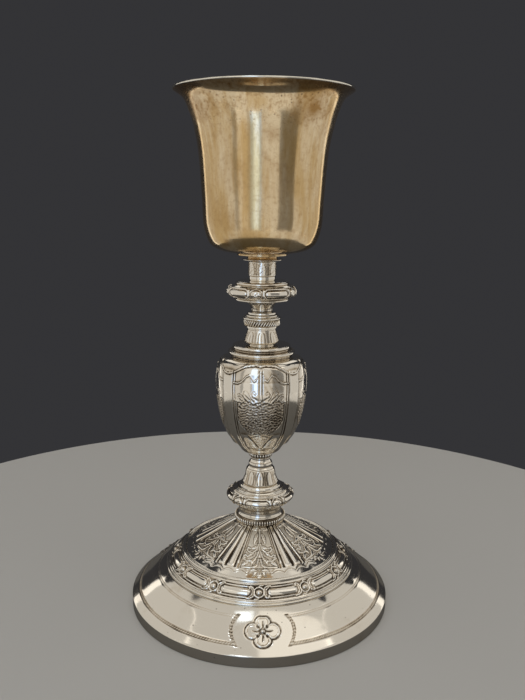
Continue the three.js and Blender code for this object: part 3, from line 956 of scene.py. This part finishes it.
lowerKnop = {
    "outside": [
        [(0, 0), (14.6, 0)], [(14.6, 0), (15.3, 0.15), (16.4, 0.5)],
        [(16.4, 0.5), (17.4, 1.1), (18.1, 2.1), (18.3, 3.1), (18.0, 4.1), (17.4, 5.0), (16.5, 5.4)],
        [(16.5, 5.4), (15.0, 5.9)], [(15.0, 5.9), (14.9, 6.5), (14.5, 6.9)], [(14.5, 6.9), (13.7, 7.0), (13.2, 7.5)],
        [(13.2, 7.5), (12.2, 8.1), (11.3, 8.6)], [(11.3, 8.6), (11.2, 9.2), (10.9, 9.5)], [(10.9, 9.5), (10.6, 9.8)],
        [(10.6, 9.8), (0, 9.8)],
    ],
    "facets": 360,
    "step": 0.25,
    "belt": (31, 3.1, 2.5),  # bearing, and the middle and half of its height
    "rings": ((6.6, 0.35, 0.15), (8.0, 0.3, 0.15)),
}
upperKnop = {
    "outside": [
        [(0, 0), (13.9, 0)], [(13.9, 0), (14.6, 0.35), (14.6, 0.8), (14.2, 1.3)],
        [(14.2, 1.3), (15.2, 1.6), (16.4, 2.2)],
        [(16.4, 2.2), (17.4, 2.9), (18.0, 3.9), (18.15, 4.9), (18.0, 5.9), (17.4, 6.9), (16.4, 7.7)],
        [(16.4, 7.7), (15.2, 8.2), (14.1, 8.6)], [(14.1, 8.6), (14.3, 9.2), (13.9, 9.8), (13.4, 10.05)],
        [(13.4, 10.05), (12.8, 10.2)], [(12.8, 10.2), (0, 10.2)],
    ],
    "facets": 360,
    "step": 0.25,
    "belt": (-10, 4.9, 2.75),
    "rings": ((1.3, 0.35, 0.15), (8.7, 0.35, 0.15)),
}
makeTurned("lower_knop", lowerKnop, beltRelief(lowerKnop))
makeTurned("upper_knop", upperKnop, beltRelief(upperKnop))


# The small turned pieces of the stem. "rings" are grooves turned round a piece, "darkTone" is the middle and width of a
# dark belt behind its beads, and "leaves" are their count, foot, tip, half width, depth, and how dark and pitted.
lowerBell = {
    "outside": [
        [(0, 0), (9.3, 0)], [(9.3, 0), (9.75, 0.35), (9.8, 0.9)],
        [(9.8, 0.9), (9.3, 2), (8.55, 4), (8.1, 6.6), (7.7, 8.2), (7.0, 9.2)], [(7.0, 9.2), (6.6, 9.8)],
        [(6.6, 9.8), (0, 9.8)],
    ],
    "facets": 144,
    "step": 0.25,
    "leaves": (10, 0.9, 8.0, 2.1, 0.14, 0.25, 0),
    "rings": ((8.6, 0.3, 0.1),),
}
middleRing = {
    "outside": [
        [(0, 0), (6.4, 0)], [(6.4, 0), (6.5, 1.2), (6.3, 2.4)], [(6.3, 2.4), (5.7, 2.9), (5.4, 3.6), (5.4, 4.8)],
        [(5.4, 4.8), (5.8, 5.4)], [(5.8, 5.4), (5.85, 7.6)], [(5.85, 7.6), (6.2, 8.0)], [(6.2, 8.0), (0, 8.0)],
    ],
    "facets": 128,
    "step": 0.25,
    "rings": ((2.45, 0.3, 0.12), (4.9, 0.3, 0.15)),
    "darkTone": (6.6, 2.2),
}
upperBell = {
    "outside": [
        [(0, 0), (6.7, 0)], [(6.7, 0), (6.7, 0.7)],
        [(6.7, 0.7), (8.4, 0.95), (9.15, 1.7), (9.2, 2.6), (8.7, 4.2), (8.1, 6.2), (7.7, 8.2), (7.7, 9)],
        [(7.7, 9), (0, 9)],
    ],
    "facets": 144,
    "step": 0.25,
    "leaves": (8, 1.6, 7.6, 2.3, 0.13, 0.25, 0),
    "rings": ((8.3, 0.3, 0.1),),
}
ropeRing = {
    "outside": [
        [(0, 0), (8.2, 0)], [(8.2, 0), (8.35, 1.1)], [(8.35, 1.1), (8.8, 2.1), (9.0, 3.2), (8.8, 4.4)],
        [(8.8, 4.4), (9.8, 4.75)], [(9.8, 4.75), (10.25, 5.05), (10.3, 5.5), (9.9, 5.95)], [(9.9, 5.95), (9.5, 6.2)],
        [(9.5, 6.2), (0, 6.2)],
    ],
    "facets": 144,
    "step": 0.22,
    "rings": ((1.15, 0.3, 0.15), (4.45, 0.3, 0.2)),
    "darkTone": (2.8, 2.8),
}
spool = {
    "outside": [
        [(0, 0), (8.5, 0)], [(8.5, 0), (8.6, 0.45), (8.4, 0.95)], [(8.4, 0.95), (7.7, 1.4), (7.6, 2.2)],
        [(7.6, 2.2), (6.1, 2.6), (5.5, 3.2), (5.7, 4.2), (6.4, 5.6), (7.3, 7.0), (7.7, 8.1), (7.6, 8.6)],
        [(7.6, 8.6), (0, 8.6)],
    ],
    "facets": 128,
    "step": 0.25,
    "leaves": (8, 2.9, 7.6, 1.9, 0.12, 0.25, 0),
    "rings": ((1.0, 0.3, 0.12),),
}
stemTop = {
    "outside": [
        [(0, 0), (6.8, 0)], [(6.8, 0), (6.95, 1.2), (6.9, 2.3)], [(6.9, 2.3), (7.3, 2.75), (7.35, 3.4)],
        [(7.35, 3.4), (7.3, 6.6), (7.35, 9.9)], [(7.35, 9.9), (7.9, 10.45), (9.2, 10.7), (10.5, 10.8)],
        [(10.5, 10.8), (10.75, 11.1), (10.5, 11.4)], [(10.5, 11.4), (8.2, 11.5), (8.0, 11.8)],
        [(8.0, 11.8), (0, 11.8)],
    ],
    "facets": 144,
    "step": 0.25,
    "leaves": (7, 3.2, 9.6, 2.4, 0.08, 0.6, 1.3),
    "rings": ((2.4, 0.35, 0.16), (11.4, 0.25, 0.1)),
}


# Upright leaves in fine line, as on the two bells, the spool and the tube under the cup.
def leafLines(look):
    count, low, high, half, depth, darkTone, pitted = look["leaves"]

    def relief(bearing, radius, height):
        x = radius * np.radians(wrap(bearing, count))
        other = radius * np.radians(wrap(bearing, count, 180 / count))
        t = np.clip((height - low) / (high - low), 0, 1)
        reach = soft(height - high, 0.5) * soft(low - height, 0.5)
        edge = np.abs(x) - half * np.sqrt(np.clip(1 - t**2.5, 0, 1)) * (0.8 + 0.2 * t)
        cuts = line(edge, 0.42) * reach + 0.7 * line(x, 0.35) * reach * soft(t - 0.7, 0.3)
        cuts = cuts + 0.6 * line(other, 0.4) * reach
        rise = -depth * cuts + 0.5 * depth * soft(edge, 0.6) * reach
        dark = 0.42 * cuts + darkTone * reach * soft(-edge, 0.8)
        if pitted:
            along = radius * np.radians(bearing)
            holes = np.sin(along * 3.1 + 1.7 * np.sin(height * 1.3)) * np.sin(height * 3.7 + 1.9 * np.sin(along * 1.1))
            holes = pitted * reach * np.clip(holes * 2.2 - 1.0, 0, 1)
            rise, dark = rise - 0.08 * holes, dark + holes
        cut, darkness = grooves(look["rings"], height, 0.5)
        rise, dark = rise - cut, dark + darkness
        return rise, 0.3 * reach * soft(-edge, 0.8), dark

    return relief


middleReeds = {
    "count": 25, "radius": 5.8, "height": 6.6, "size": (1.10, 1.5, 2.3), "lean": (0, 0, 0), "sides": 8,
}
ropeStrands = {
    "count": 40, "radius": 8.95, "height": 2.9, "size": (0.80, 1.5, 3.9), "lean": (0, 32, 0), "sides": 8,
}
makeTurned("lower_bell", lowerBell, leafLines(lowerBell))
makeTurned("middle_ring", middleRing, ringsRelief(middleRing))
makeRing("middle_reeds", "middle_ring", middleReeds)
makeTurned("upper_bell", upperBell, leafLines(upperBell))
makeTurned("rope_ring", ropeRing, ringsRelief(ropeRing))
makeRing("rope_strands", "rope_ring", ropeStrands)
makeTurned("spool", spool, leafLines(spool))
makeTurned("stem_top", stemTop, leafLines(stemTop))
print("stem made")


# The urn-shaped knop, chased in four panels between upright straps.
urn = {
    "outside": [
        [(0, 0), (7.2, 0)],
        [(7.2, 0), (10, 1.2), (12.3, 4.2), (15, 7), (16.5, 9.4), (18.3, 11.8), (20, 14.9), (22, 21.2),
         (23.3, 27.6), (24.1, 34.2), (24.4, 39.6), (24.1, 45.4), (23.5, 49.4), (22.2, 52.0), (19.8, 53.3),
         (16.4, 53.8)],
        [(16.4, 53.8), (15.9, 54.5), (15.9, 55.3)],
        [(15.9, 55.3), (17.6, 55.7), (17.95, 56.2), (17.95, 56.7), (17.5, 57.1)], [(17.5, 57.1), (15.0, 57.6)],
        [(15.0, 57.6), (14.9, 58.2), (15.5, 58.7)], [(15.5, 58.7), (15.6, 59.4), (15.2, 59.9)],
        [(15.2, 59.9), (14.9, 60)], [(14.9, 60), (0, 60)],
    ],
    "facets": 456,
    "step": 0.44,
    "panels": 4,
    "turn": -0.5,
    "strapHalf": 8.2,
    # a painted reflection of something brown, a dark patch high on the front right:
    "darkening": (14, 43, 15, 8),  # bearing, height and half sizes
    "rings": ((54.2, 0.5, 0.15), (57.4, 0.3, 0.12), (58.3, 0.3, 0.12), (2.2, 0.4, 0.1)),
    # the necks between the rings, as middle, half height and blur, darkened with painted shade so that the rings' edges
    # stand out
    "necks": ((54.6, 0.6, 0.4), (57.9, 0.45, 0.3)),
}
upperSwag = [(0, 52.2), (6, 52.75), (13, 52.5), (20, 52.0), (27, 50.6), (35, 48.6), (41, 47.7), (45, 47.5)]
lowerSwag = [
    (0, 49.9), (1.6, 49.4), (3.2, 47.6), (5.4, 45.6), (8.3, 44.7), (11, 46.2), (14, 47.9), (18.5, 46.9), (24, 44.3),
    (29, 43.1), (36, 43.1),
]
shieldSide = [(15.9, 0.0), (16.3, 4.2), (17.2, 6.6), (20, 9.7), (23, 11.7), (26, 12.5), (33.0, 12.5), (34.6, 13.4)]
crestLeaves = [  # foot, tip, half width and bow of the leaves over the shield, as [across, height]
    ((5.2, 34.2), (9.3, 38.4), 0.8, -0.8),
    ((9.6, 34.0), (12.3, 36.6), 0.55, 0.4),
]
crestCurls = [
    [
        (1.2, 34.2), (2.4, 35.6), (4.4, 36.6), (5.0, 38.0), (4.4, 39.4), (3.2, 39.7), (2.4, 38.8), (2.9, 37.8),
        (3.7, 38.2),
    ],
    [(3.8, 34.0), (5.6, 36.6), (6.2, 38.6), (7.3, 39.9), (8.7, 39.9), (9.3, 39.0)],
    [(6.6, 34.0), (8.6, 35.4), (10.4, 37.6), (11.8, 38.1), (12.6, 37.2)],
]
shieldPoint = [(6.4, 14.6), (3.4, 10.8), (0.9, 6.9)]
pendantLeaves = [
    ((0.0, 16.2), (0.0, 8.2), 1.3, 0.0),
    ((0.7, 14.6), (4.9, 13.6), 0.9, -0.5),
    ((0.6, 12.4), (3.2, 10.2), 0.7, -0.4),
]


def urnRelief(bearing, radius, height):
    turn = wrap(bearing, urn["panels"], urn["turn"])
    side = np.abs(turn)
    x = radius * np.radians(side)
    halfPanel = 180 / urn["panels"]
    fromStrap = radius * np.radians(halfPanel - side)
    onBody = soft(height - 53.0, 0.6) * soft(4.0 - height, 0.8)
    low = soft(height - 49.5, 1.2)

    # the strap, with a ribbed edge on each side that narrows to the foot
    half = radius * np.radians(urn["strapHalf"])
    strap = soft(fromStrap - half, 0.5) * low
    rise = 0.34 * strap
    cuts = line(fromStrap - half - 0.1, 0.5) * low + 0.9 * line(fromStrap - half - 1.45, 0.45) * low
    rise += 0.22 * line(fromStrap - half - 0.8, 0.7) * low

    # two draped cords over the shoulder and across the panels
    upper = np.interp(side, *zip(*upperSwag))
    above = height - upper
    cord = 0.28 * line(above - 0.3, 0.9)
    rise = rise + cord - 0.12 * soft(above, 0.6) * soft(44 - height, 1.0) * (1 - strap)
    cuts = np.maximum(cuts, line(above + 0.35, 0.5))
    cuts = np.maximum(cuts, 0.7 * line(above - 0.95, 0.4))
    lower = np.interp(side, *zip(*lowerSwag))
    inPanel = soft(side - 36, 1.5)
    under = height - lower
    rise += 0.24 * line(under - 0.25, 0.8) * inPanel
    cuts = np.maximum(cuts, inPanel * np.maximum(line(under + 0.35, 0.5), 0.6 * line(under - 0.85, 0.4)))

    # the upright double line down the middle, and leaves that open over the shield
    middle = soft(height - 50.5, 0.8) * soft(30.5 - height, 0.8)
    rise += 0.2 * dome(x, 0.6) * middle
    cuts = np.maximum(cuts, line(x - 0.85, 0.42) * middle)
    leaves = np.zeros_like(radius)
    for foot, tip, halfWidth, bow in crestLeaves + pendantLeaves:
        high, off = blade(x, height, foot, tip, halfWidth, bow)
        leaves = np.maximum(leaves, high)
        cuts = np.where(off < 0.0, cuts * 0.3, cuts)
        cuts = np.maximum(cuts, 0.5 * line(off - 0.1, 0.34) * (off > -0.25))
    for points in crestCurls:
        away = stroke(x, height, points)
        cuts = np.maximum(cuts, 0.45 * line(away, 0.32))
    rise += 0.06 * leaves

    # the shield and its rows of uneven scales
    signed = x * np.sign(turn)
    edge = np.where((height > 15.5) & (height < 35.5), x - np.interp(height, *zip(*shieldSide)), 9.0)
    top = 33.5 + 0.7 * np.sin(signed * 0.8 + 1.0) + 0.35 * np.sin(signed * 2.1)
    edge = np.maximum(edge, height - top)
    inside = soft(edge + 0.3, 0.5)
    level = height / 1.45 + 0.30 * np.sin(signed * 0.55 + 0.7) + 0.22 * np.sin(signed * 1.3 - height * 0.4)
    row = np.floor(level)
    column = signed / 2.5 + 0.5 * (row % 2) + 0.30 * np.sin(row * 2.7) + 0.10 * np.sin(height * 1.7 + signed)
    across = column - np.floor(column) - 0.5
    lip = level - row - 0.16 - 2.1 * across**2 - 0.10 * np.sin(column * 1.9 + row)
    scale = np.where(lip > 0, 1 - 0.8 * lip, 0.15)
    rise = rise * (1 - inside) + inside * (0.46 * scale - 0.22)
    scaleCut = inside * np.maximum(line(lip + 0.10, 0.30), 0.8 * line(lip - 0.42, 0.16))
    cuts = cuts * (1 - inside) + line(edge, 0.5) * np.where(height > 32, 0.45, 1.0)
    rise += 0.2 * line(edge - 0.75, 0.6) * (1 - inside) * (height < 34.5)

    # the point under the shield
    vee = stroke(x, height, shieldPoint)
    cuts = np.maximum(cuts, 0.9 * line(vee, 0.45) * (1 - inside))
    inner = np.interp(height, *zip(*[(level, aside) for aside, level in reversed(shieldPoint)]))
    outer = radius * np.radians(halfPanel) - half - 1.6
    petal = np.clip((x - inner) / np.maximum(outer - inner, 0.5), 0, 1)
    petal = np.sin(np.pi * petal) ** 0.6 * soft(6.4 - height, 1.5) * soft(height - 14.8, 1.6) * (1 - inside)
    rise += 0.55 * petal
    rise -= 0.24 * cuts
    dark = 0.58 * cuts + inside * (0.48 + 0.16 * soft(height - 26, 6)) + 0.55 * scaleCut - 0.4 * petal
    # A painted reflection: a dark brown patch high on the front right, painted into the colour.
    place, level, wide, tall = urn["darkening"]
    darkened = soft(np.hypot((bearing - place) / wide, (height - level) / tall) - 1, 0.7) * (1 - inside)
    dark += darkened * (0.28 + 0.10 * np.sin(x * 2.3 + height * 1.1))
    return rise * onBody, (0.75 * inside) * onBody, dark * onBody


def urnWithRings(bearing, radius, height):
    rise, matte, dark = urnRelief(bearing, radius, height)
    cut, darkness = grooves(urn["rings"], height, 0.45)
    # painted shade in the necks between the rings
    necks = sum(soft(np.abs(height - middle) - half, blur) for middle, half, blur in urn["necks"])
    return rise - cut, matte, dark + darkness + 0.75 * necks


makeTurned("urn_knop", urn, urnWithRings)
print("urn made")


# The cup, thin and smooth, on its little gilt disc.
bowl = {
    "outside": [
        [(0, 0), (7.9, 0)], [(7.9, 0), (8.0, 1.0)], [(8.0, 1.0), (10.5, 1.3), (13.3, 1.6)],
        [(13.3, 1.6), (13.6, 1.9), (13.3, 2.3)], [(13.3, 2.3), (13.4, 2.5)],
        [(13.4, 2.5), (16.2, 2.9), (20.6, 3.7), (24.6, 5.2), (27.3, 7.3), (28.9, 10.4), (29.9, 13.5),
         (30.6, 16.8), (31.06, 22.6), (31.3, 28.7), (31.7, 34.7), (32.1, 40.7), (32.5, 46.6), (33.05, 52.5),
         (33.9, 58.3), (35.1, 64.1), (36.5, 69.6), (37.9, 73.8), (38.9, 76.3), (40.0, 78.5), (41.3, 80.2),
         (42.9, 81.5), (44.7, 82.6), (45.9, 83.4)],
        [(45.9, 83.4), (46.15, 83.75), (45.9, 84.0)],
    ],
    "wall": 1.05,
    "insideBottom": 4.4,
    "insideFrom": 5.5,
    "insideTo": 83.2,
    "facets": 224,
    "step": 0.7,
    "dents": 0.055,
    "stains": (  # bearing, height, size and strength of each brown patch
        (39, 72, 2.6, 0.55), (7, 60, 3.0, 0.42), (-38, 9, 1.6, 0.5), (152, 66, 3.4, 0.45), (-120, 20, 2.4, 0.4),
    ),
}


def insideOfBowl(outside):
    along = np.gradient(outside, axis=0)
    along /= np.hypot(*along.T)[:, None]
    inner = outside - np.stack([along[:, 1], -along[:, 0]], axis=1) * bowl["wall"]
    height = outside[:, 1]
    inner = inner[(height > bowl["insideFrom"]) & (height < bowl["insideTo"]) & (outside[:, 0] > 20)]
    floorRun = throughPoints([(0, bowl["insideBottom"]), (14, bowl["insideBottom"] + 0.1), tuple(inner[0])], 2.0)[:-1]
    return np.vstack([floorRun, inner])[::-1]


def bowlRelief(bearing, radius, height):
    turn = np.radians(bearing)
    body = soft(height - 79, 6) * soft(8 - height, 5)
    rise = bowl["dents"] * body * (
        np.sin(3 * turn + height * 0.05) + 0.6 * np.sin(7 * turn + 1.3 + height * 0.11)
        + 0.4 * np.sin(height * 0.21 + 2 * turn)
    )
    nearLip = soft(66 - height, 20)
    # Painted shadows: dark lines under the disc and between the disc and the cup.
    dark = 0.5 * line(height - 1.1, 0.5) + 0.4 * line(height - 2.4, 0.35)
    # Painted reflection of the dark below: darker towards the lip, where it flares out, and on the underside above the
    # disc.
    dark += 0.42 * soft(79.5 - height, 5) + 0.30 * soft(height - 5.5, 4) * (height > 2.5)
    for place, level, size, strength in bowl["stains"]:
        away = np.hypot(wrap(bearing - place, 1) * 0.55, height - level)
        dark += strength * soft(away - size, 1.6 * size)
    dark = np.where(height > 83.15, -1.0, dark)
    return rise, nearLip, dark


def makeBowl():
    bottom = bottomOf("bowl")
    outside = outlineOf(bowl["outside"], bowl["step"], edgeRadius["bowl"])
    piece = turned("bowl_cup", [(1, outside), (0, insideOfBowl(outside))], bottom, bowl["facets"], gilt)
    carve(piece, bowlRelief, bottom)
    settle(piece, "gilt", "bowl")


makeBowl()
print("bowl made")


# Floor and light. Soft boxes stand round the front, low and high, and others hang over the object and behind it. Wide
# ones are split, so that they follow a circle. In the metal the floor is darker than it is seen.
floorLook = {
    "radius": 0.30,
    "sides": 128,
    "colour": (0.52, 0.51, 0.49, 1),
    "inMetal": (0.125, 0.122, 0.118, 1),
    "roughness": 0.6,
}
studio = {"dark": (0.034, 0.034, 0.037, 1), "away": 1.0, "widest": 31}
warmWhite, coolWhite, keyWhite = (1.0, 0.965, 0.90), (0.76, 0.89, 1.04), (0.64, 0.84, 1.20)
softBoxes = {  # bearings of each box's two sides, its lowest and highest height, glow and colour
    "low_left": (-127, -45, -0.75, -0.22, 0.58, warmWhite),
    "low_front": (-45, 45, -0.75, -0.22, 0.66, warmWhite),
    "low_right": (45, 127, -0.75, -0.22, 0.60, warmWhite),
    "end_left": (-133, -127, -0.60, 0.40, 1.20, warmWhite),
    "left": (-127, -53, -0.22, 1.16, 0.58, warmWhite),
    "gap_left": (-53, -45, -0.22, 1.16, 0.34, warmWhite),
    "front_left": (-45, -27, -0.22, 1.16, 0.70, warmWhite),
    "beside_key": (-27, -22, -0.22, 0.24, 0.50, warmWhite),
    "key_edge": (-22, -17, -0.22, 0.24, 0.90, keyWhite),
    "key_low": (-17, -7, -0.22, 0.24, 1.70, keyWhite),
    "key_side": (-7, -3, -0.22, 0.24, 0.80, keyWhite),
    "key": (-27, -9, 0.24, 1.16, 1.45, coolWhite),
    "front": (-3, 28, -0.22, 1.16, 0.62, warmWhite),
    "beside_front": (-9, -3, 0.24, 1.16, 0.66, warmWhite),
    "gap_right": (28, 58, -0.22, 1.16, 0.20, warmWhite),
    "right": (58, 127, -0.22, 1.16, 0.58, warmWhite),
    "end_right": (127, 133, -0.60, 0.40, 1.20, warmWhite),
}
hanging = {  # place, point it faces, width, depth, glow and colour
    "lamp": ((-0.20, -0.33, 1.20), (-0.20, -0.33, 0), 0.13, 0.11, 2.6, coolWhite),
    "lamp_halo": ((-0.20, -0.33, 1.21), (-0.20, -0.33, 0), 0.26, 0.22, 0.7, coolWhite),
    "over_front_left": ((-0.6, -0.58, 1.25), (-0.6, -0.58, 0), 1.2, 0.72, 0.56, warmWhite),
    "over_front_right": ((0.6, -0.60, 1.25), (0.6, -0.60, 0), 1.2, 0.76, 0.92, warmWhite),
    "over_middle": ((0, 0, 1.25), (0, 0, 0), 2.2, 0.44, 0.56, warmWhite),
    "over_rear": ((0, 0.44, 1.25), (0, 0.44, 0), 1.30, 0.44, 0.74, warmWhite),
    "over_back": ((0, 0.88, 0.88), (0, 0, 0.26), 0.9, 0.5, 0.85, warmWhite),
}


def makeFloor(look):
    mesh = bpy.data.meshes.new("floor")
    turns = np.linspace(0, math.tau, look["sides"], endpoint=False)
    rim = [(look["radius"] * math.cos(turn), look["radius"] * math.sin(turn), 0) for turn in turns]
    mesh.from_pydata(rim, [], [list(range(len(rim)))])
    floor = bpy.data.objects.new("floor", mesh)
    scene.collection.objects.link(floor)
    material = bpy.data.materials.new("floor_plain")
    material.use_nodes = True
    shader = next(n for n in material.node_tree.nodes if n.type == "BSDF_PRINCIPLED")
    tree = material.node_tree
    seenInMetal = node(tree, "ShaderNodeLightPath").outputs["Is Glossy Ray"]
    link(tree, mix(tree, seenInMetal, look["colour"], look["inMetal"]), shader.inputs["Base Color"])
    shader.inputs["Roughness"].default_value = look["roughness"]
    mesh.materials.append(material)


def softBox(name, place, target, width, height, glow, colour):
    data = bpy.data.lights.new(name, "AREA")
    data.shape = "RECTANGLE"
    data.size = width
    data.size_y = height
    data.energy = glow * math.pi * width * height
    data.color = colour
    box = bpy.data.objects.new(name, data)
    box.location = place
    box.rotation_mode = "QUATERNION"
    box.rotation_quaternion = (Vector(target) - Vector(place)).to_track_quat("-Z", "Y")
    box.visible_camera = False
    scene.collection.objects.link(box)


def makeLights(boxes, above, look):
    for name, (first, last, low, high, glow, colour) in boxes.items():
        parts = math.ceil((last - first) / look["widest"])
        half = math.radians(last - first) / parts / 2
        for part in range(parts):
            bearing = math.radians(first) + (2 * part + 1) * half
            place = (look["away"] * math.sin(bearing), -look["away"] * math.cos(bearing), (low + high) / 2)
            softBox(name, place, (0, 0, place[2]), 2 * look["away"] * math.tan(half), high - low, glow, colour)
    for name, (place, target, width, depth, glow, colour) in above.items():
        softBox(name, place, target, width, depth, glow, colour)
    world = bpy.data.worlds.new("studio")
    world.use_nodes = True
    next(n for n in world.node_tree.nodes if n.type == "BACKGROUND").inputs["Color"].default_value = look["dark"]
    scene.world = world
    scene.view_settings.view_transform = "Standard"


makeFloor(floorLook)
makeLights(softBoxes, hanging, studio)
print("floor and lights made")
